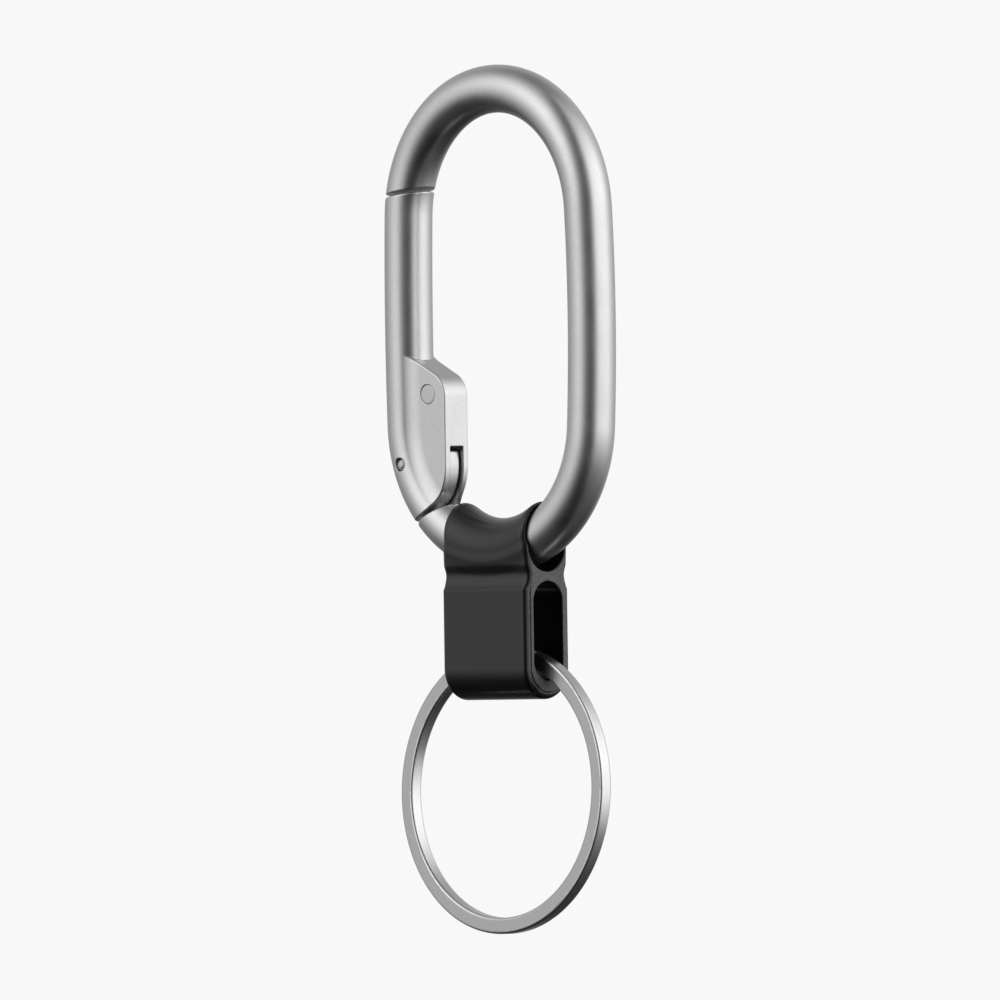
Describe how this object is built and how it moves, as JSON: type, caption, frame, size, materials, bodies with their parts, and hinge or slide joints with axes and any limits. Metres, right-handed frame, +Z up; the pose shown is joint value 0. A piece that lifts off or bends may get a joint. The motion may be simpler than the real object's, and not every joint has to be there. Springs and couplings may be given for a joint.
{
  "type": "carabiner key organiser",
  "caption": "Round-bar carabiner with a sprung gate, a moulded connector on its lower bend and a flat key ring for hanging and carrying keys.",
  "frame": {"origin": "hang point: the highest point of the inside of the carabiner's top bend", "axes": "+Z up along the hanging object, +X from the gate side to the spine, -Y out of the flat front"},
  "size_m": [0.0323, 0.0066, 0.0903],
  "materials": {
    "satin_steel": "bead-blasted satin",
    "pin_steel": "ground satin",
    "spring_steel": "drawn wire",
    "black_polymer": "fine matte moulded texture",
    "ring_steel": "satin with soft edges"
  },
  "bodies": {
    "carabiner": {"carabiner_frame": "satin_steel"},
    "gate": {"gate_arm": "satin_steel", "hinge_pin": "pin_steel", "spring_pin": "pin_steel", "return_spring": "spring_steel"},
    "connector": {"connector_loop": "black_polymer"},
    "ring": {"split_ring": "ring_steel"}
  },
  "joints": [
    {"name": "gate_hinge", "type": "hinge", "parent": "carabiner", "child": "gate", "pos_m": [-0.0126, 0, -0.0365], "axis": [0, 1, 0], "range_deg": [0, 18], "stiffness_Nm_per_rad": 0.08, "springref_deg": -20.05},
    {"name": "connector_travel", "type": "hinge", "parent": "carabiner", "child": "connector", "pos_m": [0, 0, -0.032], "axis": [0, 1, 0], "range_deg": [-55, 7]},
    {"name": "ring_swing", "type": "hinge", "parent": "connector", "child": "ring", "pos_m": [0, 0, -0.05695], "axis": [1, 0, 0], "range_deg": [-90, 90]}
  ]
}
